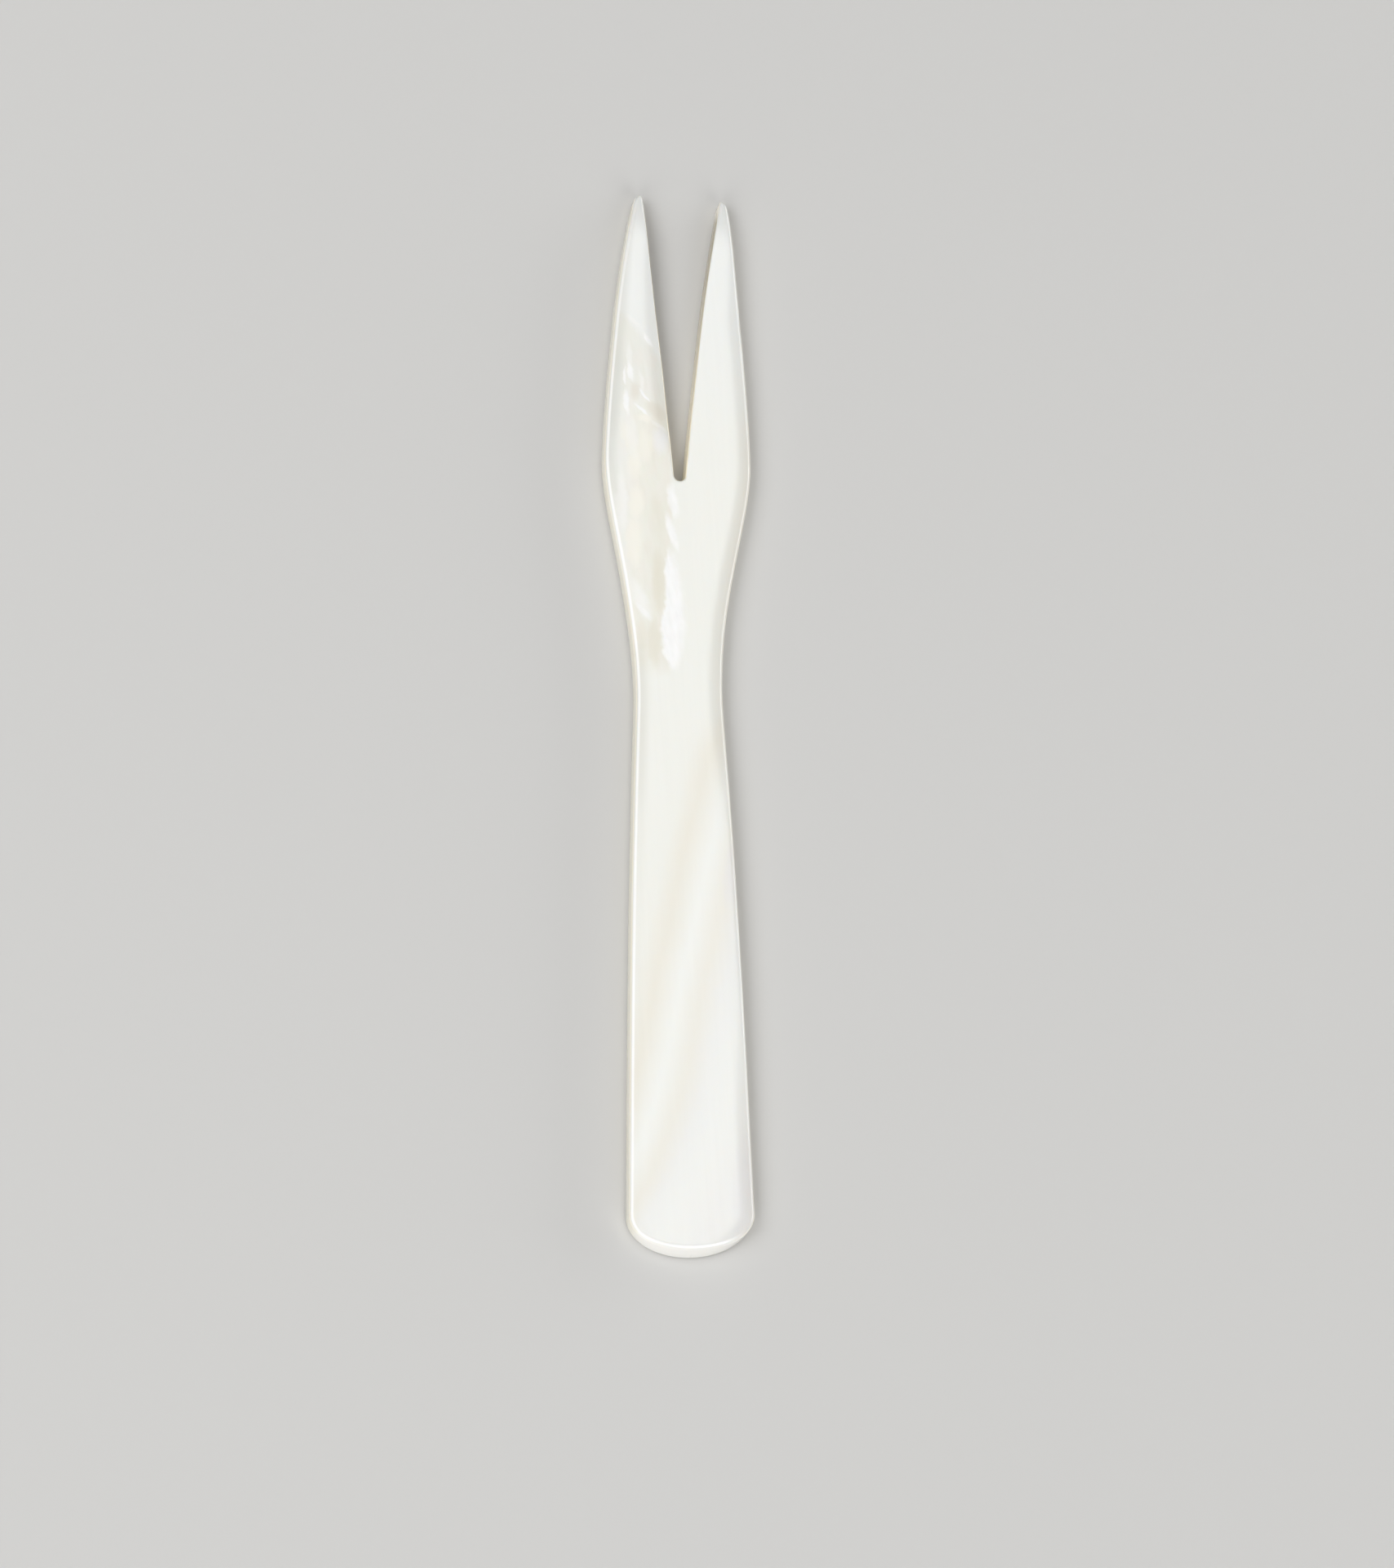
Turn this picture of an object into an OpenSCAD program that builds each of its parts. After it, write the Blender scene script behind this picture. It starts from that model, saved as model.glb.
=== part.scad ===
// Sashimi fork: a two-tined fork sawn and polished from one flat piece of mother-of-pearl.
// Seen from above: +Y runs to the tine tips, +Z is the polished face, the underside is flat on z = 0.

/* [Overall] */
// length from the handle's end to the tine tips
length = 120; // [105:1:150]
// thickness at the middle of the handle and the head
thick = 2.2; // [1.6:0.1:3]

/* [Handle] */
// width of the handle where its rounded end begins
handle_w = 13.8; // [11:0.1:17]
// height of the rounded end
end_round = 4.4; // [2.5:0.1:7]
// how far the end wall slopes in, from the underside to the face
end_slope = 0.65; // [0:0.05:1]
// how far the rounded end is turned out of square, in degrees
end_turn = 3.8; // [-5:0.1:5]
// length over which that turn fades out up the handle
turn_len = 20; // [10:1:40]
// angle that each side opens by towards the end, in degrees
handle_flare = 1.4; // [0.5:0.1:3]
// share of the handle that runs straight before it curves into the neck
handle_straight = 0.77; // [0.5:0.01:0.9]
// sideways lean of the handle away from the tines, in degrees
handle_lean = 1.4; // [-3:0.1:3]
// height where the lean begins
bend_y = 73; // [60:1:80]
// length over which the lean bends in
bend_len = 4; // [2:1:20]

/* [Neck and head] */
// width of the neck at its narrowest
neck_w = 9.7; // [7:0.1:12]
// height of the neck's narrowest place above the handle's end
neck_y = 62.5; // [50:0.5:70]
// share of the handle that the neck's curve pulls straight below its narrowest place
neck_pull_low = 0.07; // [0.03:0.01:0.2]
// share of the shoulder that the neck's curve pulls straight above it
neck_pull_up = 0.42; // [0.2:0.01:0.6]
// width of the head at its widest
head_w = 16.5; // [14:0.1:20]
// height of the head's widest place above the handle's end
head_y = 88.8; // [80:0.1:95]
// share of the shoulder that the head's curve pulls straight below its widest place
head_pull_low = 0.22; // [0.1:0.01:0.4]
// share of the tine that the head's curve pulls straight above it
head_pull_up = 0.17; // [0.1:0.01:0.4]

/* [Tines and slot] */
// depth of the slot between the tines
slot_depth = 33.3; // [25:0.1:38]
// radius of the slot's round bottom
crotch_r = 0.65; // [0.5:0.05:1.2]
// how far the slot lies to one side of the middle
slot_off = 0.13; // [-0.3:0.01:0.3]
// length below the tips over which it comes back to the middle
off_len = 20; // [5:1:30]
// width of the slot's mouth at the tips
mouth_w = 8.75; // [7:0.05:11]
// share of the slot's opening that comes from the curve of its sides
slot_bow = 0.24; // [0:0.01:0.5]
// width of a tine at its tip, before rounding
tip_w = 0.75; // [0.5:0.05:1.5]
// angle that a tine's outer side turns in by at the tip, in degrees
tip_turn = 14; // [6:0.5:18]
// share of the tine that keeps that angle
tip_straight = 0.18; // [0.1:0.01:0.3]
// length of the rounded end of a tine
tip_round = 0.75; // [0.5:0.05:1.5]
// share of a tine's tip, from its inner side, where its highest point lies
tip_nose = 0.28; // [0.2:0.01:0.8]
// how far the tips drift to one side
tip_drift = 0.4; // [-0.8:0.05:0.8]
// length over which they drift
drift_len = 15.5; // [8:0.5:25]
// thickness at the tine tips
tip_thick = 1.5; // [0.9:0.1:1.6]
// length over which the tines thin down to their tips
thin_len = 6; // [4:1:24]

/* [Polished edges] */
// how far the face falls from its flat middle to its edge
edge_fall = 0.3; // [0.1:0.05:0.5]
// width of that soft fall
fall_w = 2.2; // [1:0.1:3]
// rounding of the face's edge
face_r = 0.35; // [0.2:0.05:0.5]
// rounding of the underside's edge
under_r = 0.25; // [0.1:0.05:0.4]

/* [Smoothness] */
// steps round the handle's end
end_steps = 12; // [8:1:16]
// steps from the rounded end to the slot
body_steps = 30; // [20:1:36]
// steps round each half of the slot's bottom
crotch_steps = 5; // [4:1:8]
// steps along each tine
tine_steps = 24; // [16:1:30]
// steps round each tip
tip_steps = 5; // [4:1:8]
// steps across each half of the face, an even number
face_steps = 12; // [8:2:14]

/* [Hidden] */
crotch_y = length - slot_depth;
slot_y = crotch_y + crotch_r;
tine_len = length - head_y;
shoulder_len = head_y - neck_y;
handle_len = neck_y - end_round;
tip_out = mouth_w / 2 + tip_w;
// first and last turning angles, so that the handle's end and the tips close on a small flat
end_first = 5;
tip_last = 80;
// packing of the steps towards the slot, and of the face's points towards its edges
body_pack = 2;
face_pack = 2.2;
// share of an underside edge's rounding where its middle point lies
under_mid = 0.29;
// stations either side in which a point looks for its nearest edge
look = 9;

// control points of the three curves that make each side, as half-widths and heights
handle_pull = handle_straight * handle_len;
handle_x = [handle_w / 2, handle_w / 2 - handle_pull * tan(handle_flare), neck_w / 2, neck_w / 2];
handle_y = [end_round, end_round + handle_pull, neck_y - neck_pull_low * handle_len, neck_y];
shoulder_x = [neck_w / 2, neck_w / 2, head_w / 2, head_w / 2];
shoulder_y = [neck_y, neck_y + neck_pull_up * shoulder_len, head_y - head_pull_low * shoulder_len, head_y];
tip_pull = tip_straight * tine_len;
tine_x = [head_w / 2, head_w / 2, tip_out + tip_pull * tan(tip_turn), tip_out];
tine_y = [head_y, head_y + head_pull_up * tine_len, length - tip_pull, length];

function bezier(p, t) =
    p[0] * pow(1 - t, 3) + 3 * p[1] * t * pow(1 - t, 2) + 3 * p[2] * t * t * (1 - t) + p[3] * pow(t, 3);
// place along a rising curve where it reaches v, by halving
function bezier_at(p, v, lo = 0, hi = 1, turns = 26) =
    let (mid = (lo + hi) / 2)
    turns == 0 ? mid
    : bezier(p, mid) < v ? bezier_at(p, v, mid, hi, turns - 1)
    : bezier_at(p, v, lo, mid, turns - 1);
function curve(xs, ys, y) = bezier(xs, bezier_at(ys, y));

// half-width of the outer sides at height y, above the rounded end
function outer(y) =
    y < neck_y ? curve(handle_x, handle_y, y)
    : y < head_y ? curve(shoulder_x, shoulder_y, y)
    : curve(tine_x, tine_y, y);
// half-width of the slot at height y, above its round bottom
function slot(y) =
    let (v = max(0, (y - slot_y) / (length - slot_y)))
    crotch_r + (mouth_w / 2 - crotch_r) * ((1 - slot_bow) * v + slot_bow * v * v);
// sideways place of the middle line at height y: the handle leans, and the tips drift
function lean(y) =
    let (v = bend_y - y)
    tan(handle_lean) * (v < 0 ? 0 : v < bend_len ? v * v / (2 * bend_len) : v - bend_len / 2)
    + tip_drift * pow(max(0, 1 - (length - y) / drift_len), 2);
// sideways place of the slot's middle, and below it of the seam between the halves
function slot_place(y) =
    slot_off * min(1, max(0, y - neck_y) / (crotch_y - neck_y))
    * min(1, max(0, length - tip_round - y) / off_len);
// thickness at height y
function thickness(y) = thick - (thick - tip_thick) * pow(max(0, 1 - (length - y) / thin_len), 2);

// stations up the fork: height, half-width outside, half-width inside
end_stations = [for (k = [0 : end_steps - 1])
    let (a = end_first + (90 - end_first) * k / end_steps)
    [end_round * (1 - cos(a) / cos(end_first)), handle_w / 2 * sin(a), 0]];
body_stations = [for (k = [0 : body_steps])
    let (y = crotch_y - (crotch_y - end_round) * pow(1 - k / body_steps, body_pack))
    [y, outer(y), 0]];
crotch_stations = [for (k = [1 : crotch_steps])
    let (a = 90 * k / crotch_steps, y = crotch_y + crotch_r * (1 - cos(a)))
    [y, outer(y), crotch_r * sin(a)]];
tine_stations = [for (k = [1 : tine_steps])
    let (y = slot_y + (length - tip_round - slot_y) * k / tine_steps)
    [y, outer(y), slot(y)]];
tip_stations = [for (k = [1 : tip_steps])
    let (
        a = tip_last * k / tip_steps,
        y = length - tip_round * (1 - sin(a) / sin(tip_last)),
        nose = slot(y) + tip_nose * (outer(y) - slot(y)),
        across = (outer(y) - slot(y)) * cos(a)
    )
    [y, nose + (1 - tip_nose) * across, nose - tip_nose * across]];
stations = concat(end_stations, body_stations, crotch_stations, tine_stations, tip_stations);
last = len(stations) - 1;
split = len(end_stations) + len(body_stations) - 1;

// distance from a point of one half to the nearest edge of the fork, looking near station i
function edge_gap(side, x, y, i) =
    min(y, length - y, min([for (k = [max(0, i - look) : min(last, i + look)])
        let (s = stations[k], out = norm([x - s[1], y - s[0]]))
        k < split ? out : min(out, norm([x - s[2] - side * slot_place(s[0]), y - s[0]]))]));
function rounding(r, gap) = r - sqrt(r * r - pow(r - min(gap, r), 2));
// where a tine is narrow the fall narrows with it, so that the two sides meet without a ridge
function face_z(y, gap, half) =
    let (w = min(fall_w, half), fall = edge_fall * w / fall_w * pow(1 - min(gap / w, 1), 2))
    thickness(y) * (1 - (fall + rounding(face_r, gap)) / thick);
function under_z(y, gap) = thickness(y) * rounding(under_r, gap) / thick;
// the end wall slopes in as it rises
function end_shift(y, z) =
    y > end_round ? 0 : end_slope * max(0, z - under_r) / (thick - under_r) * pow(1 - y / end_round, 2);
// the end is turned out of square, and moved up again so that its lowest point stays at height 0
end_low = max([for (s = end_stations) abs(tan(end_turn)) * s[1] - s[0]]);
function turn_shift(x, y) =
    let (v = min(1, y / turn_len))
    (end_low + tan(end_turn) * x) * (1 - v * v * (3 - 2 * v));

// shares of the way across a half, packed towards both of its edges
across = [for (j = [0 : face_steps])
    let (v = 2 * j / face_steps)
    v <= 1 ? pow(v, face_pack) / 2 : 1 - pow(2 - v, face_pack) / 2];
// one closed loop round a half at station i: face from the outside in, then underside from the inside out
function loop(side, i) =
    let (
        y = stations[i][0],
        x_out = stations[i][1],
        x_in = stations[i][2] + side * slot_place(y),
        half = i > split ? (outer(y) - slot(y)) / 2 : max(x_out, neck_w / 2),
        inset = min(under_r, (x_out - x_in) / 3),
        face = [for (s = across)
            let (x = x_out * (1 - s) + x_in * s)
            [x, face_z(y, edge_gap(side, x, y, i), half)]],
        under = [for (x = [x_in, x_in + under_mid * inset, x_in + inset,
                           x_out - inset, x_out - under_mid * inset, x_out])
            [x, under_z(y, edge_gap(side, x, y, i))]]
    )
    [for (p = concat(face, under))
        [lean(y) + side * p[0], y + end_shift(y, p[1]) + turn_shift(side * p[0], y), p[1]]];

ring = face_steps + 7;
half_size = ring * (last + 1) + 2;
function half_points(side) =
    let (loops = [for (i = [0 : last]) loop(side, i)])
    concat(
        [for (l = loops) each l],
        [for (l = [loops[0], loops[last]]) (l[0] + l[face_steps + 1]) / 2]
    );
function turned(side, f) = side > 0 ? f : [f[2], f[1], f[0]];
// the inner wall, which joins the last face point to the first underside point, exists only beside the slot
function half_faces(side, first) = [
    for (i = [0 : last - 1]) for (k = [0 : ring - 1])
        if (k != face_steps || i >= split)
            let (
                a = first + i * ring + k,
                b = first + i * ring + (k + 1) % ring,
                c = b + ring,
                d = a + ring
            )
            each [turned(side, [a, b, c]), turned(side, [a, c, d])],
    for (k = [0 : ring - 1])
        let (a = first + k, b = first + (k + 1) % ring, up = last * ring, hub = first + half_size - 2)
        each [turned(side, [b, a, hub]), turned(side, [a + up, b + up, hub + 1])]
];
points = concat(half_points(-1), half_points(1));
faces = concat(half_faces(-1, 0), half_faces(1, half_size));
xs = [for (p = points) p[0]];
x_mid = (min(xs) + max(xs)) / 2;

module fork() {
    color([0.93, 0.92, 0.88])
        translate([-x_mid, -length / 2, 0])
            polyhedron(points = points, faces = faces);
}

fork();
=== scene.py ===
import math

import bmesh
import bpy
from mathutils import Matrix, Vector


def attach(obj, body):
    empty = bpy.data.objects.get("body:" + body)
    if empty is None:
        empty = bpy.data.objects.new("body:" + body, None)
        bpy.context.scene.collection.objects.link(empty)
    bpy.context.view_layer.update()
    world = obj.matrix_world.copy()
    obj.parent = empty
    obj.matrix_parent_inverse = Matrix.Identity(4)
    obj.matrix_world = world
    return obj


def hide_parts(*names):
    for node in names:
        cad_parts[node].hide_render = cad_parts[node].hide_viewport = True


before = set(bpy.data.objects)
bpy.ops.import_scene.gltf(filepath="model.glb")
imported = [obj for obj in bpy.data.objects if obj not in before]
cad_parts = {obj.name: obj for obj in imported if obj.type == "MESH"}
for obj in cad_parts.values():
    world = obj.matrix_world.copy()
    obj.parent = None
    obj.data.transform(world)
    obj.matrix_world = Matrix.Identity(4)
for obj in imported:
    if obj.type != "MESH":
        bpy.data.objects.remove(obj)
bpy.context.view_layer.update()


# The fork is one flat piece of mother-of-pearl, sawn to outline from the wall of a pearl oyster's shell.
# The slot between the tines is sawn and filed. Then the face, the walls and every edge are polished by
# hand, so the face swells a little and rolls off towards its edges. Nothing is joined to it.
mm = 0.001
fork_length = 120 * mm
fork_thick = 2.2 * mm
handle_w = 13.8 * mm
end_round = 4.4 * mm
end_slope = 0.65 * mm
end_turn = math.radians(3.8)
turn_len = 20 * mm
handle_flare = math.radians(1.4)
handle_straight = 0.77
handle_lean = math.radians(1.4)
bend_y = 73 * mm
bend_len = 4 * mm
neck_w = 9.7 * mm
neck_y = 62.5 * mm
neck_pull_low = 0.07
neck_pull_up = 0.42
head_w = 16.5 * mm
head_y = 88.8 * mm
head_pull_low = 0.22
head_pull_up = 0.17
slot_depth = 33.3 * mm
crotch_r = 0.65 * mm
slot_off = 0.13 * mm
off_len = 20 * mm
mouth_w = 8.75 * mm
slot_bow = 0.24
tip_w = 0.75 * mm
tip_turn = math.radians(14)
tip_straight = 0.18
tip_round = 0.75 * mm
tip_nose = 0.28
tip_drift = 0.4 * mm
drift_len = 15.5 * mm
tip_thick = 1.5 * mm
thin_len = 6 * mm
edge_fall = 0.36 * mm
fall_w = 2.3 * mm
left_share = 0.25
handle_share = 0.35
flat_start = 8 * mm
flat_full = 30 * mm
flat_last = 44 * mm
lip_near = 1 * mm
lip_far = 7 * mm
face_r = 0.5 * mm
slot_r = 0.24 * mm
crisp_fade = 3 * mm
under_r = 0.25 * mm
polish_loss = 0.004 * mm

crotch_y = fork_length - slot_depth
slot_y = crotch_y + crotch_r
handle_len = neck_y - end_round
shoulder_len = head_y - neck_y
tine_len = fork_length - head_y
handle_pull = handle_straight * handle_len
tip_pull = tip_straight * tine_len
tip_out = mouth_w / 2 + tip_w
handle_side = (
    (handle_w / 2, handle_w / 2 - handle_pull * math.tan(handle_flare), neck_w / 2, neck_w / 2),
    (end_round, end_round + handle_pull, neck_y - neck_pull_low * handle_len, neck_y),
)
shoulder_side = (
    (neck_w / 2, neck_w / 2, head_w / 2, head_w / 2),
    (neck_y, neck_y + neck_pull_up * shoulder_len, head_y - head_pull_low * shoulder_len, head_y),
)
tine_side = (
    (head_w / 2, head_w / 2, tip_out + tip_pull * math.tan(tip_turn), tip_out),
    (head_y, head_y + head_pull_up * tine_len, fork_length - tip_pull, fork_length),
)


def bezier(p, t):
    return p[0] * (1 - t) ** 3 + 3 * p[1] * t * (1 - t) ** 2 + 3 * p[2] * t * t * (1 - t) + p[3] * t**3


def side_at(side, y):
    """Half-width of one of the outline's curves at height y, found by halving."""
    low, high = 0.0, 1.0
    for _ in range(40):
        middle = (low + high) / 2
        if bezier(side[1], middle) < y:
            low = middle
        else:
            high = middle
    return bezier(side[0], (low + high) / 2)


def outer(y):
    return side_at(handle_side if y < neck_y else shoulder_side if y < head_y else tine_side, y)


def slot(y):
    v = max(0.0, (y - slot_y) / (fork_length - slot_y))
    return crotch_r + (mouth_w / 2 - crotch_r) * ((1 - slot_bow) * v + slot_bow * v * v)


def slot_place(y):
    """Sideways place of the slot's middle, and below it of the seam between the halves."""
    low_share = min(1.0, max(0.0, y - neck_y) / (crotch_y - neck_y))
    return slot_off * low_share * min(1.0, max(0.0, fork_length - tip_round - y) / off_len)


def lean(y):
    """Sideways place of the middle line: the handle leans, and the tips drift."""
    below = bend_y - y
    run = 0 if below < 0 else below**2 / (2 * bend_len) if below < bend_len else below - bend_len / 2
    drift = tip_drift * max(0.0, 1 - (fork_length - y) / drift_len) ** 2
    return math.tan(handle_lean) * run + drift


# rows of the sheet from the handle's end to the tips: height, half-width outside, half-width inside
end_rows, handle_rows, crotch_rows, tine_rows, nose_rows = 28, 170, 12, 110, 14
end_first_deg, nose_last_deg = 1, 88
row_crowding = 1.5
rows = []
for k in range(end_rows):
    a = math.radians(end_first_deg + (90 - end_first_deg) * k / end_rows)
    y = end_round * (1 - math.cos(a) / math.cos(math.radians(end_first_deg)))
    rows.append((y, handle_w / 2 * math.sin(a), 0))
end_low = max(math.tan(end_turn) * out - y for y, out, _ in rows)
for k in range(handle_rows + 1):
    y = crotch_y - (crotch_y - end_round) * (1 - k / handle_rows) ** row_crowding
    rows.append((y, outer(y), 0))
for k in range(1, crotch_rows + 1):
    a = math.radians(90 * k / crotch_rows)
    y = crotch_y + crotch_r * (1 - math.cos(a))
    rows.append((y, outer(y), crotch_r * math.sin(a)))
for k in range(1, tine_rows + 1):
    y = slot_y + (fork_length - tip_round - slot_y) * k / tine_rows
    rows.append((y, outer(y), slot(y)))
for k in range(1, nose_rows + 1):
    a = math.radians(nose_last_deg * k / nose_rows)
    y = fork_length - tip_round * (1 - math.sin(a) / math.sin(math.radians(nose_last_deg)))
    nose, wide = slot(y) + tip_nose * (outer(y) - slot(y)), (outer(y) - slot(y)) * math.cos(a)
    rows.append((y, nose + (1 - tip_nose) * wide, nose - tip_nose * wide))

# shares from the outer edge to the middle or the slot, closest together at both ends
half_steps = 18
rim_crowding = 2.2
near_half = [(k / half_steps) ** rim_crowding / 2 for k in range(half_steps + 1)]
across = near_half + [1 - share for share in near_half[-2::-1]]


def smooth_step(v, start, end):
    share = min(1.0, max(0.0, (v - start) / (end - start)))
    return share * share * (3 - 2 * share)


def turned_end(x, y):
    """The handle's end is turned a little out of square."""
    return (end_low + math.tan(end_turn) * x) * (1 - smooth_step(y, 0, turn_len))


edges_x = [lean(y) + side * out for y, out, _ in rows for side in (-1, 1)]
middle_x = (min(edges_x) + max(edges_x)) / 2
merge_gap = 1e-7
sheet_bm = bmesh.new()
along, half_width, crisp, falling, rim_side = [
    sheet_bm.verts.layers.float.new(name)
    for name in ("along", "half_width", "crisp", "falling", "rim_side")
]
for side in (-1, 1):
    grid = []
    for y, out, inn in rows:
        line = []
        half = (outer(y) - slot(y)) / 2 if inn > 0 else handle_w / 2 if y < end_round else out
        on_handle = smooth_step(y, flat_start, flat_full) * smooth_step(y, neck_y, flat_last)
        fall_y = edge_fall * (1 - (1 - handle_share) * on_handle)
        for s in across:
            loss = polish_loss * (1 - 2 * s) if inn > 0 else polish_loss * (1 - s)
            x = side * (out * (1 - s) + inn * s - loss) + slot_place(y) * s
            place = (lean(y) + x - middle_x, y + turned_end(x, y) - fork_length / 2, 0)
            vert = sheet_bm.verts.new(place)
            vert[along] = y
            vert[half_width] = half
            lip_gap = math.hypot(x - slot_off, y - slot_y)
            vert[falling] = fall_y * smooth_step(lip_gap, lip_near, lip_far)
            if s == 1 and (inn > 0 or y == crotch_y):
                vert[crisp] = min(1.0, max(0.0, (fork_length - tip_round - y) / crisp_fade))
            line.append(vert)
        grid.append(line)
    for low, high in zip(grid, grid[1:]):
        for k in range(len(across) - 1):
            corners = (low[k], high[k], high[k + 1], low[k + 1])
            sheet_bm.faces.new(corners if side < 0 else corners[::-1])
bmesh.ops.remove_doubles(sheet_bm, verts=sheet_bm.verts, dist=merge_gap)
bmesh.ops.recalc_face_normals(sheet_bm, faces=sheet_bm.faces)
sheet_bm.faces.ensure_lookup_table()
if sheet_bm.faces[0].normal.z < 0:
    bmesh.ops.reverse_faces(sheet_bm, faces=sheet_bm.faces)

# how far the rim looks sideways at each of its points: -1 to the left, 1 to the right
for vert in sheet_bm.verts:
    outwards = Vector((0, 0, 0))
    for edge in vert.link_edges:
        if edge.is_boundary:
            run = (edge.verts[1].co - edge.verts[0].co).normalized()
            away = edge.verts[0].co - edge.link_faces[0].calc_center_median()
            outwards += (away - run * away.dot(run)).normalized()
    if outwards.length > 0:
        vert[rim_side] = outwards.normalized().x
sheet_mesh = bpy.data.meshes.new("fork_sheet")
sheet_bm.to_mesh(sheet_mesh)
sheet_bm.free()
sheet = bpy.data.objects.new("fork_sheet", sheet_mesh)
bpy.context.scene.collection.objects.link(sheet)


# Nacre: near-white and pearly, with soft cream growth bands across the handle, a silky figured patch on
# the left of the head with bright feathered marks along its edge, and cut walls that show the layers.
def node_in(tree, kind, values=(), **settings):
    """Adds a node and fills its inputs: each value is a number, a colour or another node's output."""
    made = tree.nodes.new(kind)
    for name, value in settings.items():
        setattr(made, name, value)
    for key, value in values.items() if isinstance(values, dict) else enumerate(values):
        if isinstance(value, bpy.types.NodeSocket):
            tree.links.new(value, made.inputs[key])
        else:
            made.inputs[key].default_value = value
    return made


def sum_in(tree, operation, *values):
    return node_in(tree, "ShaderNodeMath", values, operation=operation).outputs[0]


def ease_in(tree, value, start, end):
    """Smooth step from 0 at start to 1 at end."""
    if start > end:
        return sum_in(tree, "SUBTRACT", 1, ease_in(tree, value, end, start))
    pairs = {"Value": value, "From Min": start, "From Max": end}
    made = node_in(tree, "ShaderNodeMapRange", pairs, interpolation_type="SMOOTHSTEP")
    return made.outputs["Result"]


def vector_in(tree, operation, *values):
    return node_in(tree, "ShaderNodeVectorMath", values, operation=operation).outputs["Vector"]


def split_in(tree, vector):
    return node_in(tree, "ShaderNodeSeparateXYZ", (vector,)).outputs


# one feathered mark: a long soft lens, brightest in its middle
feather = bpy.data.node_groups.new("feather_mark", "ShaderNodeTree")
for name, kind in (
    ("Place", "Vector"), ("Middle", "Vector"), ("Turn", "Float"),
    ("Length", "Float"), ("Width", "Float"), ("Strength", "Float"),
):
    feather.interface.new_socket(name, in_out="INPUT", socket_type=f"NodeSocket{kind}")
feather.interface.new_socket("Share", in_out="OUTPUT", socket_type="NodeSocketFloat")
mark_in = feather.nodes.new("NodeGroupInput").outputs
mark_at = vector_in(feather, "SUBTRACT", mark_in["Place"], mark_in["Middle"])
mark_turn = {"Vector": mark_at, "Angle": mark_in["Turn"]}
mark_at = node_in(feather, "ShaderNodeVectorRotate", mark_turn, rotation_type="Z_AXIS").outputs[0]
mark_x, mark_y, _ = split_in(feather, mark_at)
mark_along = sum_in(feather, "POWER", sum_in(feather, "DIVIDE", mark_x, mark_in["Length"]), 2)
mark_across = sum_in(feather, "POWER", sum_in(feather, "DIVIDE", mark_y, mark_in["Width"]), 2)
mark_share = ease_in(feather, sum_in(feather, "ADD", mark_along, mark_across), 1, 0)
node_in(feather, "NodeGroupOutput", (sum_in(feather, "MULTIPLY", mark_share, mark_in["Strength"]),))

nacre = bpy.data.materials.new("polished_nacre")
nacre.use_nodes = True
shade = nacre.node_tree
shade.nodes.clear()
coords = node_in(shade, "ShaderNodeTexCoord").outputs
in_mm = vector_in(shade, "MULTIPLY", coords["Object"], (1000, 1000, 1000))


def calc(operation, *values):
    return sum_in(shade, operation, *values)


def times(product, *shares):
    for share in shares:
        product = calc("MULTIPLY", product, share)
    return product


def ease(value, start, end):
    return ease_in(shade, value, start, end)


def tint(share, first, second, blend="MIX"):
    first, second = ((*c, 1) if isinstance(c, tuple) else c for c in (first, second))
    values = {0: share, 6: first, 7: second}
    return node_in(shade, "ShaderNodeMix", values, data_type="RGBA", blend_type=blend).outputs[2]


def ramp(share, stops, interpolation="B_SPLINE"):
    made = node_in(shade, "ShaderNodeValToRGB", (share,))
    colours = made.color_ramp
    colours.interpolation = interpolation
    colours.elements.remove(colours.elements[1])
    colours.elements[0].position, colours.elements[0].color = stops[0][0], (*stops[0][1], 1)
    for position, colour in stops[1:]:
        colours.elements.new(position).color = (*colour, 1)
    return made.outputs["Color"]


def noise(place, scale, detail):
    values = {"Vector": place, "Scale": scale, "Detail": detail}
    return node_in(shade, "ShaderNodeTexNoise", values).outputs


def wander(scale, reach, detail=2.0):
    """The place in millimetres, pushed about by soft noise."""
    push = vector_in(shade, "SUBTRACT", noise(in_mm, scale, detail)["Color"], (0.5, 0.5, 0.5))
    return vector_in(shade, "ADD", in_mm, vector_in(shade, "MULTIPLY", push, (reach, reach, 0)))


def streaks(x_scale, y_scale, turn, detail=3.0):
    """Noise drawn out along the fork and turned by some degrees, from 0 to 1."""
    values = {"Vector": in_mm, "Rotation": (0, 0, math.radians(turn))}
    turned = node_in(shade, "ShaderNodeMapping", values).outputs[0]
    return noise(vector_in(shade, "MULTIPLY", turned, (x_scale, y_scale, 0.4)), 1.0, detail)[0]


def marks(*placed):
    """Greatest share of some marks: middle x and y, turn, half-length, half-width and strength."""
    most = 0.0
    for x, y, turn, length, width, strength in placed:
        mark = {
            "Place": fine_place, "Middle": (x, y, 0), "Turn": math.radians(turn),
            "Length": length, "Width": width, "Strength": strength,
        }
        made = node_in(shade, "ShaderNodeGroup", mark, node_tree=feather)
        most = calc("MAXIMUM", most, made.outputs[0])
    return most


def curve(value, points):
    """Smooth curve through some points, each a place and a height."""
    places, heights = zip(*points)
    low, high = min(heights), max(heights)
    pairs = {"Value": value, "From Min": places[0], "From Max": places[-1]}
    share = node_in(shade, "ShaderNodeMapRange", pairs).outputs["Result"]
    made = node_in(shade, "ShaderNodeFloatCurve", {"Value": share})
    line = made.mapping.curves[0].points
    spots = [((p - places[0]) / (places[-1] - places[0]), (h - low) / (high - low)) for p, h in points]
    line[0].location, line[1].location = spots[0], spots[-1]
    for spot in spots[1:-1]:
        line.new(*spot)
    made.mapping.update()
    return calc("MULTIPLY_ADD", made.outputs[0], high - low, low)


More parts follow.
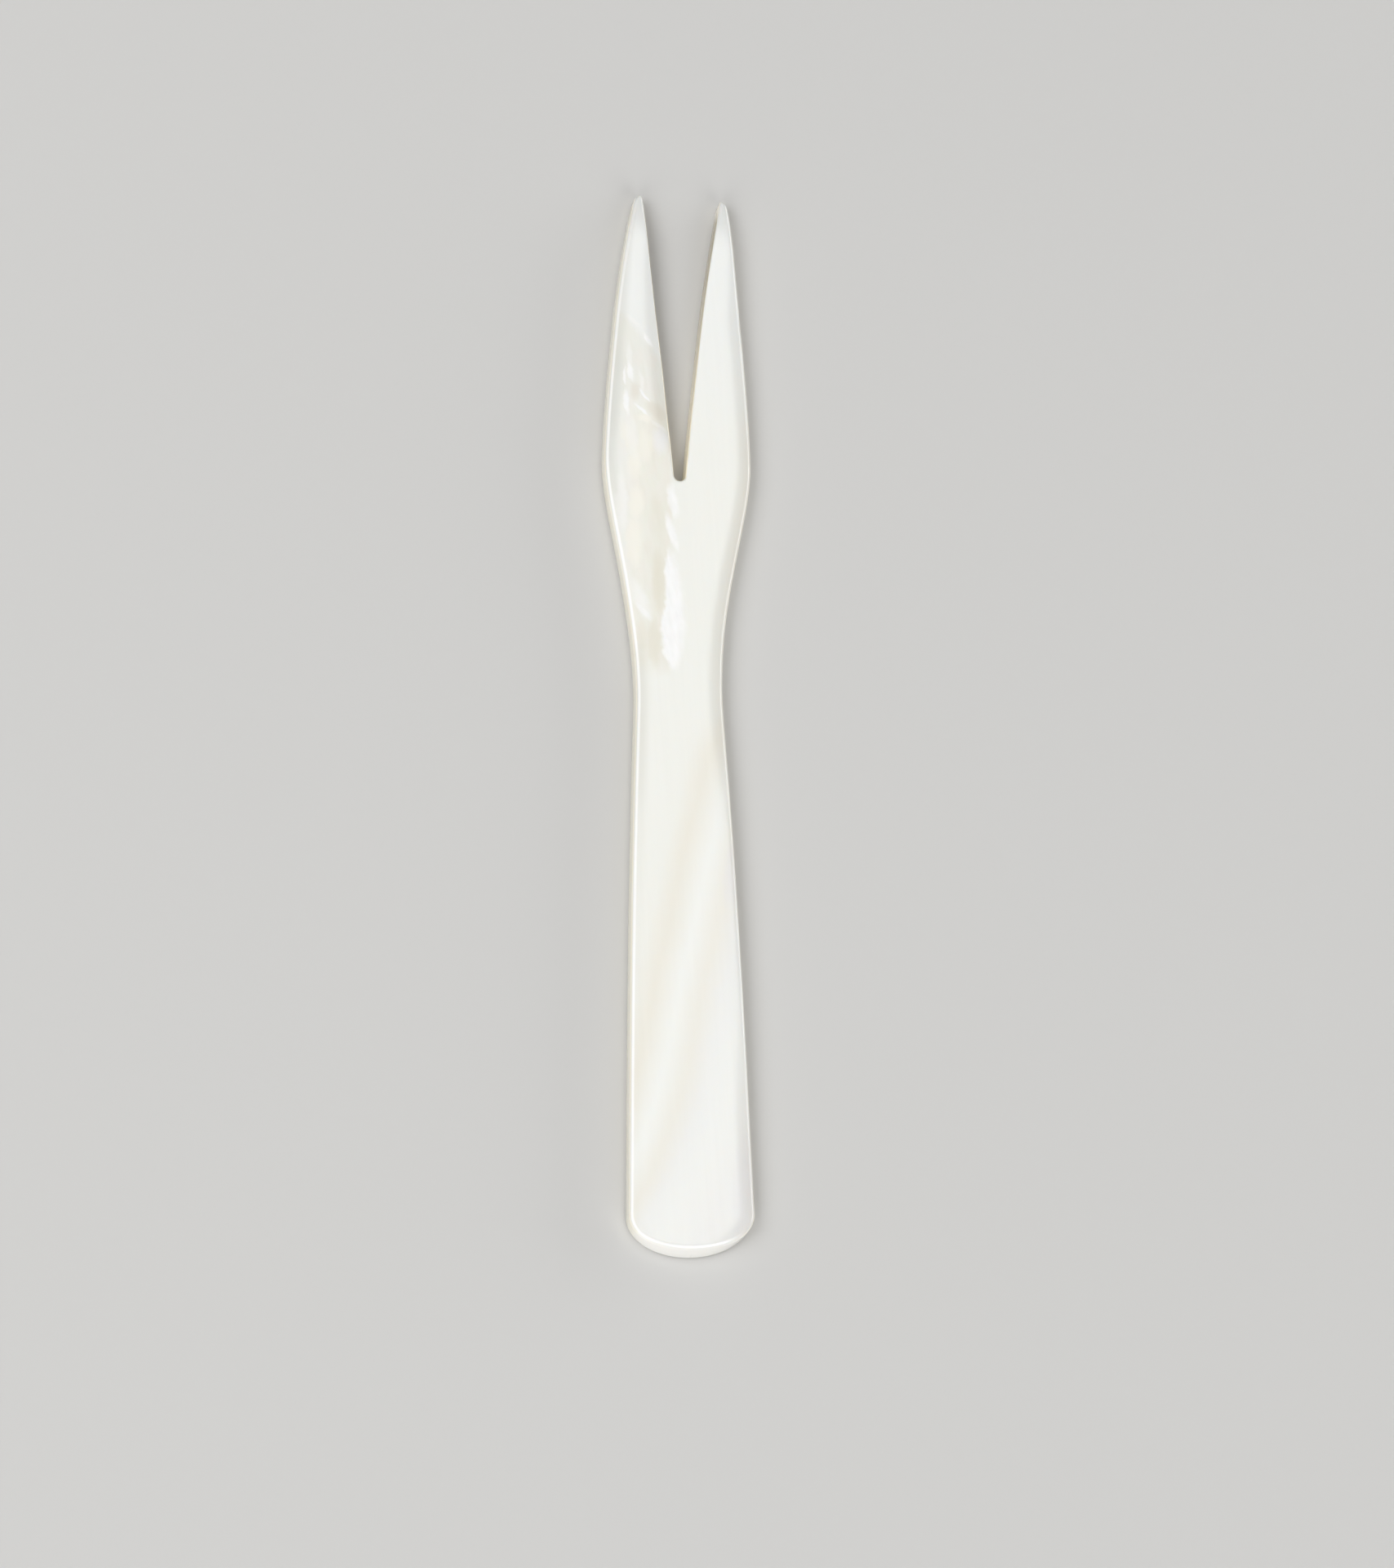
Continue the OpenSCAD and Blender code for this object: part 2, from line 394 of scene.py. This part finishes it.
def from_mesh(name):
    """One of the values that the section rule below leaves on the mesh."""
    return node_in(shade, "ShaderNodeAttribute", attribute_name=name).outputs["Fac"]


# all places and sizes in the figure are in millimetres, from the middle of the fork
_, at_y, at_z = split_in(shade, in_mm)
soft_x, soft_y, _ = split_in(shade, wander(0.12, 1.0))
fine_place = wander(0.8, 0.7, 3.0)
fine_x, fine_y, _ = split_in(shade, fine_place)

# growth bands cross the handle at a slant, and curl a little at their ends
pearl_white = (0.880, 0.882, 0.826)
pearl_bright = (0.900, 0.907, 0.862)
pearl_cream = (0.846, 0.818, 0.726)
pearl_faint = (0.858, 0.838, 0.762)
pearl_blue = (0.868, 0.872, 0.855)
pearl_grey = (0.87, 0.865, 0.84)
rose_shade_tint = (0.835, 0.825, 0.825)
band_turn = math.radians(11.9)
band_start, band_reach = -2.0, 20.0
low_curl_y, low_curl_rate = -40, 0.0105
top_curl_y, top_curl_rate = -21, 0.002
bands_fade = (2, -5)
low_curl = calc("POWER", calc("MAXIMUM", calc("SUBTRACT", low_curl_y, at_y), 0), 2)
top_curl = calc("POWER", calc("MAXIMUM", calc("SUBTRACT", at_y, top_curl_y), 0), 2)
band_at = calc("SUBTRACT", times(soft_x, math.cos(band_turn)), times(soft_y, math.sin(band_turn)))
band_at = calc("ADD", band_at, times(low_curl, low_curl_rate))
band_at = calc("SUBTRACT", band_at, times(top_curl, top_curl_rate))
band_share = calc("DIVIDE", calc("SUBTRACT", band_at, band_start), band_reach)
handle_tint = ramp(band_share, [
    (0.0, pearl_white), (0.18, pearl_white), (0.262, pearl_cream), (0.312, pearl_cream),
    (0.40, pearl_bright), (0.45, pearl_bright), (0.525, pearl_faint), (0.575, pearl_faint),
    (0.66, pearl_blue), (0.8, pearl_bright), (1.0, pearl_grey),
])
# painted shade: rose-grey bands along the handle's right edge, where the face rolls off
right_rose_shade = marks((5.9, -17.5, 97, 5.0, 1.3, 0.6), (7.0, -53.0, 92, 8.0, 1.6, 0.5))
handle_tint = tint(right_rose_shade, handle_tint, rose_shade_tint)
body_tint = tint(ease(at_y, *bands_fade), pearl_white, handle_tint)

# the tines' ends are cooler
tip_white = (0.875, 0.886, 0.86)
tip_fade = (26, 50)
body_tint = tint(ease(soft_y, *tip_fade), body_tint, tip_white)

# the figured patch: soft bands along the left of the head, creamy near the middle of the tine
patch_start, patch_w = -8.1, 7.2
crown_white = (0.845, 0.84, 0.785)
crown_fade = (33, 38)
cloud_white = (0.895, 0.89, 0.835)
cloud_share, silk_share, hue_share = 0.4, 0.45, 0.8
patch_share = calc("DIVIDE", calc("SUBTRACT", fine_x, patch_start), patch_w)
patch_tint = ramp(patch_share, [
    (0.0, (0.83, 0.845, 0.81)), (0.15, (0.85, 0.858, 0.815)), (0.30, (0.875, 0.868, 0.81)),
    (0.42, (0.882, 0.865, 0.79)), (0.55, (0.862, 0.848, 0.765)), (0.70, (0.84, 0.822, 0.738)),
    (0.85, (0.83, 0.81, 0.72)), (1.0, (0.845, 0.827, 0.745)),
])
patch_tint = tint(ease(fine_y, *crown_fade), patch_tint, crown_white)
patch_cloud = ease(streaks(0.6, 0.18, -6, 2.0), 0.3, 0.75)
patch_tint = tint(times(patch_cloud, cloud_share), patch_tint, cloud_white)
silk_stops = [(0.25, (0.94, 0.93, 0.90)), (0.5, (1, 1, 1)), (0.75, (1.03, 1.03, 1.02))]
patch_tint = tint(silk_share, patch_tint, ramp(streaks(1.5, 0.22, -12), silk_stops), "MULTIPLY")
hue_stops = [(0.3, (1.0, 0.978, 0.972)), (0.5, (1, 1, 1)), (0.7, (0.975, 0.998, 0.97))]
patch_tint = tint(hue_share, patch_tint, ramp(streaks(0.75, 0.35, 10), hue_stops), "MULTIPLY")

# it ends softly at the head's middle, at the neck, and along a slant across the tine
patch_right_fade = (-0.6, -1.3)
patch_low_fade = (3.6, 6.4)
patch_top_fade = (38.4, 36.8)
top_slant = 1.27
patch_right = ease(fine_x, *patch_right_fade)
patch_low = ease(fine_y, *patch_low_fade)
patch_top = ease(calc("ADD", fine_y, times(fine_x, top_slant)), *patch_top_fade)
patch_here = times(patch_low, patch_top, patch_right)
figured = tint(patch_here, body_tint, patch_tint)

# marks of one tint lie together: grey, lavender, brown, olive, cream, and then a soft white
grey_edge_shade = (0.785, 0.80, 0.755)
mark_lavender = (0.875, 0.87, 0.86)
mark_brown = (0.77, 0.725, 0.63)
mark_olive = (0.79, 0.76, 0.645)
mark_cream = (0.94, 0.915, 0.82)
white_sheen = (0.93, 0.925, 0.89)
for mark_tint, placed in (
    # painted shade: a grey band just inside the left edge
    (grey_edge_shade, [(-7.2, 37.0, 93, 7.0, 0.9, 0.7)]),
    (mark_lavender, [(-2.2, 31.2, 90, 2.0, 1.2, 0.8)]),
    (mark_brown, [(-2.6, 34.6, 40, 2.0, 1.0, 0.62), (-5.1, 36.6, 90, 1.3, 0.7, 0.6)]),
    (mark_olive, [
        (-2.4, 14.9, 88, 4.6, 0.95, 0.95), (-2.6, 22.0, 84, 3.6, 1.1, 0.35),
        (-2.9, 8.0, 88, 3.4, 1.0, 0.75), (-4.2, 8.6, 80, 2.2, 1.0, 0.45),
    ]),
    (mark_cream, [
        (-4.0, 33.6, 20, 1.0, 0.6, 0.7), (-5.6, 31.0, 63, 2.4, 1.1, 0.5),
        (-5.0, 28.6, 94, 2.6, 1.0, 0.7), (-4.9, 23.8, 92, 2.4, 1.1, 0.8),
        (-5.1, 19.2, 88, 3.6, 1.2, 0.7), (-3.9, 30.4, 88, 2.6, 1.1, 0.6),
    ]),
    # painted sheen: soft white streaks of lustre on the figure
    (white_sheen, [
        (-4.35, 12.7, 67, 3.2, 1.0, 0.8), (-4.4, 37.9, 82, 1.5, 0.35, 0.6),
        (-2.3, 32.8, 33, 1.4, 0.3, 0.5), (-5.2, 44.8, 41, 1.5, 0.35, 0.5),
        (-5.4, 31.5, 85, 3.2, 0.9, 0.4), (-5.7, 40.6, 88, 2.2, 0.4, 0.5),
        (-6.5, 23.9, 88, 4.6, 0.8, 0.7),
    ]),
):
    figured = tint(marks(*placed), figured, mark_tint)

# the tongue: a bright painted sheen down the patch's right, crisp on its left and feathered on its right
tongue_sway = 0.5
tongue_low_fade = (4.2, 5.6)
tongue_top_fade = (19.6, 17.6)
tongue_pull = times(calc("SUBTRACT", streaks(1.4, 0.3, -20), 0.5), tongue_sway)
tongue_x = calc("ADD", fine_x, tongue_pull)
tongue_left = curve(fine_y, [
    (4.6, -0.75), (5.6, -1.3), (7.4, -1.93), (9.3, -2.03),
    (11.4, -1.83), (13.5, -1.6), (16.5, -1.66), (19.0, -1.4),
])
tongue_right = curve(fine_y, [
    (4.6, -0.7), (5.6, -0.2), (7.4, 0.16), (9.3, 0.31), (11.4, 0.43),
    (13.5, 0.19), (15.5, -0.1), (17.6, -0.72), (19.0, -1.2),
])
crisp_side = ease(calc("SUBTRACT", tongue_x, tongue_left), -0.25, 0.3)
feathered_side = ease(calc("SUBTRACT", tongue_right, tongue_x), -0.6, 0.7)
tongue_ends = times(ease(fine_y, *tongue_low_fade), ease(fine_y, *tongue_top_fade))
tongue = times(crisp_side, feathered_side, tongue_ends)

# bright feathers of painted sheen lie up the tine and above the tongue, in the same silver
feathers = marks(
    (-6.22, 38.4, 88, 1.4, 0.25, 0.8), (-5.6, 39.0, 78, 1.4, 0.4, 0.9), (-6.0, 35.3, 82, 1.9, 0.45, 0.9),
    (-4.0, 36.3, 51, 1.2, 0.26, 1.0), (-4.3, 34.6, 42, 1.2, 0.28, 1.0), (-3.65, 42.8, 61, 1.2, 0.3, 0.9),
    (-0.75, 24.3, 81, 2.6, 0.75, 0.8), (-0.9, 20.6, 73, 2.8, 0.55, 0.85),
    (-4.0, 11.3, 50, 1.6, 0.45, 0.6),
)
sheen_share = calc("MAXIMUM", tongue, feathers)
sheen_stops = [(0.28, (0.935, 0.936, 0.92)), (0.5, (0.975, 0.975, 0.955)), (0.66, (0.99, 0.99, 0.978))]
figured = tint(sheen_share, figured, ramp(streaks(2.0, 0.5, -15, 2.0), sheen_stops))

# lines of growth too fine to count run along the fork and shift its white a little
grain_share = 0.45
grain_stops = [(0.0, (0.955, 0.955, 0.945)), (1.0, (1.03, 1.03, 1.03))]
grain = ramp(streaks(2.2, 0.06, -4), grain_stops, "LINEAR")
face_tint = tint(grain_share, figured, grain, "MULTIPLY")

# painted highlight: the rounded corner above the left wall and round the end is painted near white
highlight_white = (0.98, 0.98, 0.955)
corner_from = (0.08 * mm, 0.2 * mm)
corner_to = (0.5 * mm, 0.32 * mm)
edge_gap, edge_side = from_mesh("edge_gap"), from_mesh("edge_side")
edge_near, at_slot = from_mesh("edge_near"), from_mesh("at_slot")
off_slot = ease(at_slot, 0.8, 0.2)
at_corner = times(ease(edge_side, 0.8, 0.4), off_slot)
corner_highlight = times(ease(edge_gap, *corner_from), ease(edge_gap, *corner_to), at_corner)
face_tint = tint(corner_highlight, face_tint, highlight_white)

# painted shade where the face rolls off to its edges: greyer inside the left edge, creamier at the right
left_shade_grey = (0.865, 0.858, 0.84)
right_shade_cream = (0.94, 0.91, 0.885)
corner_keeps = 0.55
left_shade_depth = curve(at_y, [
    (-60, 0.2), (-30, 0.2), (-14, 0.4), (-6, 0.9), (2, 1.0), (8, 0.4),
    (13, 0.05), (19, 0.05), (26, 0.8), (36, 1.0), (52, 1.0), (60, 0.5),
])
right_shade_depth = curve(at_y, [
    (-60, 0.6), (-48, 0.4), (-38, 0.05), (-14, 0.05), (-4, 0.4), (6, 0.5),
    (14, 0.75), (28, 0.95), (33, 0.6), (38, 0.25), (46, 0.05), (60, 0.04),
])
at_left = times(ease(edge_side, -0.4, -0.8), off_slot)
at_right = times(ease(edge_side, 0.4, 0.8), off_slot)
off_corner = calc("SUBTRACT", 1, times(corner_highlight, corner_keeps))
left_painted_shade = times(at_left, left_shade_depth, ease(edge_near, 0.2, 0.8), off_corner)
right_painted_shade = times(at_right, right_shade_depth, ease(edge_near, 0.05, 0.9))
# the painted shade darkens the face's colour at both sides
face_tint = tint(left_painted_shade, face_tint, left_shade_grey, "MULTIPLY")
face_tint = tint(right_painted_shade, face_tint, right_shade_cream, "MULTIPLY")

# the underside lay next to the shell's outer layer: creamier, in long broad bands
under_fade = (1.2, 0.6)
under_stops = [(0.3, (0.80, 0.76, 0.65)), (0.5, (0.86, 0.84, 0.76)), (0.7, (0.88, 0.88, 0.84))]
under_tint = ramp(streaks(0.2, 0.03, 12), under_stops)
face_tint = tint(ease(at_z, *under_fade), face_tint, under_tint)

# cut walls: the layers lie flat in the thickness, cream at the sides; painted shade browns the slot's
# wall towards the tips, and painted light makes the walls facing the handle's end paler
outer_stops = [(0.3, (0.92, 0.86, 0.70)), (0.5, (0.96, 0.91, 0.77)), (0.7, (0.98, 0.95, 0.85))]
slot_shade_stops = [(0.3, (0.40, 0.345, 0.225)), (0.5, (0.44, 0.385, 0.26)), (0.7, (0.49, 0.43, 0.305))]
deep_stops = [(0.3, (0.90, 0.81, 0.60)), (0.5, (0.95, 0.86, 0.66)), (0.7, (0.97, 0.90, 0.72))]
end_painted_light = (0.96, 0.945, 0.89)
slot_shade_fade = (29, 56)
slot_level = 0.2
_, facing_y, facing_z = split_in(shade, coords["Normal"])
level = calc("SUBTRACT", calc("ABSOLUTE", facing_z), times(at_slot, slot_level))
wall = ease(level, 0.75, 0.35)
layers = noise(vector_in(shade, "MULTIPLY", in_mm, (0.12, 0.12, 7.0)), 1.0, 3.0)[0]
# painted shade: the slot's wall turns brown towards the tips
slot_wall_and_shade = tint(ease(at_y, *slot_shade_fade), ramp(layers, deep_stops), ramp(layers, slot_shade_stops))
wall_tint = tint(ease(at_slot, 0.1, 0.7), ramp(layers, outer_stops), slot_wall_and_shade)
# painted light: walls facing the handle's end are painted paler
wall_tint = tint(ease(times(facing_y, -1), 0.45, 0.85), wall_tint, end_painted_light)
nacre_tint = tint(wall, face_tint, wall_tint)

# under the clear polish the layers ripple, most of all in the figured patch
bright_ripple = 0.6
least_rough, patch_rough, wall_rough = 0.32, 0.04, 0.15
ripple = calc("ADD", times(patch_cloud, patch_here), times(sheen_share, bright_ripple))
ripple_values = {"Strength": 0.2, "Distance": 0.1 * mm, "Height": ripple}
rough = calc("ADD", times(patch_here, patch_rough), times(wall, wall_rough))
surface = node_in(shade, "ShaderNodeBsdfPrincipled", {
    "Base Color": nacre_tint,
    "Roughness": calc("ADD", rough, least_rough),
    "Normal": node_in(shade, "ShaderNodeBump", ripple_values).outputs[0],
    "IOR": 1.6,
    "Coat Weight": 1.0,
    "Coat Roughness": 0.16,
    "Subsurface Weight": 0.3,
    "Subsurface Radius": (1.0, 0.85, 0.7),
    "Subsurface Scale": 0.5 * mm,
})
node_in(shade, "ShaderNodeOutputMaterial", {"Surface": surface.outputs[0]})

# The section rule raises the flat sheet to the polished fork: the nearer a point lies to an edge, the
# lower the face sits and the higher the underside.
section = bpy.data.node_groups.new("polished_section", "GeometryNodeTree")
section_in = []
for name, kind, value in (
    ("Sheet", "Geometry", None), ("Length", "Float", fork_length), ("Thickness", "Float", fork_thick),
    ("Tip thickness", "Float", tip_thick), ("Thinning length", "Float", thin_len),
    ("Fall width", "Float", fall_w), ("Left share", "Float", left_share),
    ("Face rounding", "Float", face_r), ("Slot rounding", "Float", slot_r),
    ("Underside rounding", "Float", under_r), ("End height", "Float", end_round),
    ("End slope", "Float", end_slope), ("Nacre", "Material", nacre),
):
    made = section.interface.new_socket(name, in_out="INPUT", socket_type=f"NodeSocket{kind}")
    section_in.append((made.identifier, value))
section.interface.new_socket("Fork", in_out="OUTPUT", socket_type="NodeSocketGeometry")
given = section.nodes.new("NodeGroupInput").outputs


def part(operation, *values):
    return sum_in(section, operation, *values)


def from_sheet(name):
    """One of the values that the sheet's points carry."""
    made = node_in(section, "GeometryNodeInputNamedAttribute", (name,), data_type="FLOAT")
    return made.outputs["Attribute"]


# each point of the sheet holds its gap to the rim, and what the nearest point of the rim carries
rim_test = {2: node_in(section, "GeometryNodeInputMeshEdgeNeighbors").outputs[0], 3: 1}
is_rim = node_in(section, "FunctionNodeCompare", rim_test, data_type="INT", operation="EQUAL").outputs[0]
rim_of = (given["Sheet"], is_rim)
rim = node_in(section, "GeometryNodeSeparateGeometry", rim_of, domain="EDGE").outputs[0]
nearest = node_in(section, "GeometryNodeProximity", {"Geometry": rim}, target_element="EDGES").outputs
rim_index = node_in(section, "GeometryNodeSampleNearest", {"Geometry": rim}, domain="POINT").outputs[0]
held = node_in(section, "GeometryNodeCaptureAttribute", domain="POINT")
for item in ("Gap", "Side", "Crisp"):
    held.capture_items.new("FLOAT", item)
section.links.new(given["Sheet"], held.inputs["Geometry"])
section.links.new(nearest["Distance"], held.inputs["Gap"])
for item, name in (("Side", "rim_side"), ("Crisp", "crisp")):
    sampled = {"Geometry": rim, "Value": from_sheet(name), "Index": rim_index}
    made = node_in(section, "GeometryNodeSampleIndex", sampled, data_type="FLOAT", domain="POINT")
    section.links.new(made.outputs[0], held.inputs[item])
gap, rim_look, slot_share = held.outputs["Gap"], held.outputs["Side"], held.outputs["Crisp"]

# the sheet is raised to a plate, with its own copy below it as the underside
raised = node_in(section, "GeometryNodeExtrudeMesh", {
    "Mesh": held.outputs["Geometry"], "Offset": (0, 0, 1),
    "Offset Scale": given["Thickness"], "Individual": False,
})
under = node_in(section, "GeometryNodeFlipFaces", (held.outputs["Geometry"],)).outputs[0]
both = node_in(section, "GeometryNodeJoinGeometry")
section.links.new(raised.outputs["Mesh"], both.inputs[0])
section.links.new(under, both.inputs[0])
plate_of = {"Geometry": both.outputs[0], "Distance": merge_gap}
plate = node_in(section, "GeometryNodeMergeByDistance", plate_of).outputs[0]

# thickness at each place: the tips are thinner
here_x, here_y, here_z = split_in(section, node_in(section, "GeometryNodeInputPosition").outputs[0])
from_end = from_sheet("along")
to_tip = part("SUBTRACT", given["Length"], from_end)
thinning = part("SUBTRACT", 1, part("DIVIDE", to_tip, given["Thinning length"]))
thinning = part("POWER", part("MAXIMUM", thinning, 0), 2)
thinned = part("MULTIPLY", part("SUBTRACT", given["Thickness"], given["Tip thickness"]), thinning)
thick_here = part("SUBTRACT", given["Thickness"], thinned)
thick_share = part("DIVIDE", thick_here, given["Thickness"])


def rounding(radius):
    """How far a quarter round of this radius lies below the face at the point's gap to the rim."""
    short = part("SUBTRACT", radius, part("MINIMUM", gap, radius))
    square = part("SUBTRACT", part("MULTIPLY", radius, radius), part("MULTIPLY", short, short))
    return part("SUBTRACT", radius, part("SQRT", part("MAXIMUM", square, 0)))


# the face falls to its edges, less at the left, and ends in a rounded edge that is sharper at the slot
fall_reach = part("MINIMUM", given["Fall width"], from_sheet("half_width"))
nearness = part("SUBTRACT", 1, part("MINIMUM", part("DIVIDE", gap, fall_reach), 1))
fall = part("POWER", nearness, 2)
fall = part("MULTIPLY", fall, part("POWER", part("DIVIDE", fall_reach, given["Fall width"]), 2))
on_right = ease_in(section, rim_look, 0.2, 0.8)
right_gain = part("MULTIPLY", part("SUBTRACT", 1, given["Left share"]), on_right)
fall = part("MULTIPLY", fall, part("ADD", given["Left share"], right_gain))
sharper = part("MULTIPLY", part("SUBTRACT", given["Face rounding"], given["Slot rounding"]), slot_share)
face_round = part("SUBTRACT", given["Face rounding"], sharper)
drop = part("ADD", part("MULTIPLY", from_sheet("falling"), fall), rounding(face_round))
face_z = part("SUBTRACT", thick_here, part("MULTIPLY", drop, thick_share))
under_z = part("MULTIPLY", rounding(given["Underside rounding"]), thick_share)
is_face = part("GREATER_THAN", here_z, part("MULTIPLY", given["Thickness"], 0.5))
is_under = part("SUBTRACT", 1, is_face)
new_z = part("ADD", part("MULTIPLY", is_face, face_z), part("MULTIPLY", is_under, under_z))

# the end's wall slopes in towards the face
slope_share = part(
    "DIVIDE",
    part("MAXIMUM", part("SUBTRACT", new_z, given["Underside rounding"]), 0),
    part("SUBTRACT", given["Thickness"], given["Underside rounding"]),
)
end_share = part("SUBTRACT", 1, part("DIVIDE", from_end, given["End height"]))
end_share = part("POWER", part("MAXIMUM", end_share, 0), 2)
slope_y = part("MULTIPLY", part("MULTIPLY", given["End slope"], slope_share), end_share)
new_y = part("ADD", here_y, slope_y)
new_place = node_in(section, "ShaderNodeCombineXYZ", (here_x, new_y, new_z)).outputs[0]
moved = {"Geometry": plate, "Position": new_place}
shaped = node_in(section, "GeometryNodeSetPosition", moved).outputs[0]
for name, value in (
    ("edge_gap", gap), ("edge_side", rim_look), ("edge_near", nearness), ("at_slot", slot_share),
):
    stored = {"Geometry": shaped, "Name": name, "Value": value}
    made = node_in(
        section, "GeometryNodeStoreNamedAttribute", stored, data_type="FLOAT", domain="POINT"
    )
    shaped = made.outputs[0]
smooth = node_in(section, "GeometryNodeSetShadeSmooth", {"Geometry": shaped}).outputs[0]
real = node_in(section, "GeometryNodeRealizeInstances", {"Geometry": smooth}).outputs[0]
finish = {"Geometry": real, "Material": given["Nacre"]}
finished = node_in(section, "GeometryNodeSetMaterial", finish).outputs[0]
node_in(section, "NodeGroupOutput", (finished,))

shaping = sheet.modifiers.new("polished_section", "NODES")
shaping.node_group = section
for identifier, value in section_in:
    if value is not None:
        shaping[identifier] = value
dressed = sheet.evaluated_get(bpy.context.evaluated_depsgraph_get())
fork_mesh = bpy.data.meshes.new_from_object(dressed)
fork_mesh.name = "nacre_fork"
fork = bpy.data.objects.new("nacre_fork", fork_mesh)
bpy.context.scene.collection.objects.link(fork)
bpy.data.objects.remove(sheet)
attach(fork, "root")
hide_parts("fork")


# The floor is a plain pale sheet of card that the fork lies on. It reaches far enough on every side to
# fill the picture from low angles too.
floor_reach = 6.0
floor_z = -0.1 * mm
card_grey = (0.66, 0.655, 0.64, 1)
floor_corners = [(-1, -1), (1, -1), (1, 1), (-1, 1)]
floor_mesh = bpy.data.meshes.new("floor")
floor_mesh.from_pydata(
    [(x * floor_reach, y * floor_reach, floor_z) for x, y in floor_corners], [], [(0, 1, 2, 3)]
)
floor = bpy.data.objects.new("floor", floor_mesh)
bpy.context.scene.collection.objects.link(floor)
card = bpy.data.materials.new("pale_card")
card.use_nodes = True
card.node_tree.nodes["Principled BSDF"].inputs["Base Color"].default_value = card_grey
card.node_tree.nodes["Principled BSDF"].inputs["Roughness"].default_value = 0.8
floor_mesh.materials.append(card)


# Soft studio light: a wide panel at the left, two in front of the handle, a strip at the right and one
# overhead, all turned to the fork, in a dim white room.
def panel(name, place, size, power):
    light = bpy.data.lights.new(name, "AREA")
    light.shape, light.size, light.size_y, light.energy = "RECTANGLE", size[0], size[1], power
    lamp = bpy.data.objects.new(name, light)
    bpy.context.scene.collection.objects.link(lamp)
    lamp.location = place
    lamp.rotation_euler = (-Vector(place)).to_track_quat("-Z", "Y").to_euler()
    lamp.visible_camera = False


panel("left_panel", (-1.485, 0.1, 1.598), (2.0, 1.3), 24.3)
panel("front_left_panel", (-1.0, -2.0, 1.17), (1.4, 1.3), 19.8)
panel("front_right_panel", (0.95, -2.0, 1.17), (1.5, 1.3), 20.7)
panel("right_panel", (2.25, 0.75, 0.425), (2.6, 0.55), 20.4)
panel("top_panel", (0.175, 0.7, 2.375), (1.6, 1.5), 13.2)
room_light = 0.118
studio = bpy.data.worlds.new("studio")
studio.use_nodes = True
studio.node_tree.nodes["Background"].inputs["Color"].default_value = (1, 1, 1, 1)
studio.node_tree.nodes["Background"].inputs["Strength"].default_value = room_light
bpy.context.scene.world = studio
bpy.context.scene.view_settings.view_transform = "Standard"


# The camera looks down from the left of the handle's end, with the tines towards the top of the picture.
# Its focal length is held in pixels of the picture's height.
image_height = 1920
focal_px = 9012.8
sensor_w = 36
camera_distance = 0.8
looked_at = Vector((2.39 * mm, -7.22 * mm, 0))
sight = Vector((-0.22, -0.30, 1.0)).normalized()
up = (Vector((0, 1, 0)) - sight * sight.y).normalized()
right = up.cross(sight)
camera_data = bpy.data.cameras.new("camera")
camera_data.sensor_width = sensor_w
camera_data.lens = sensor_w * focal_px / image_height
camera = bpy.data.objects.new("camera", camera_data)
bpy.context.scene.collection.objects.link(camera)
turn = Matrix((right, up, sight)).transposed().to_4x4()
camera.matrix_world = Matrix.Translation(looked_at + sight * camera_distance) @ turn
bpy.context.scene.camera = camera
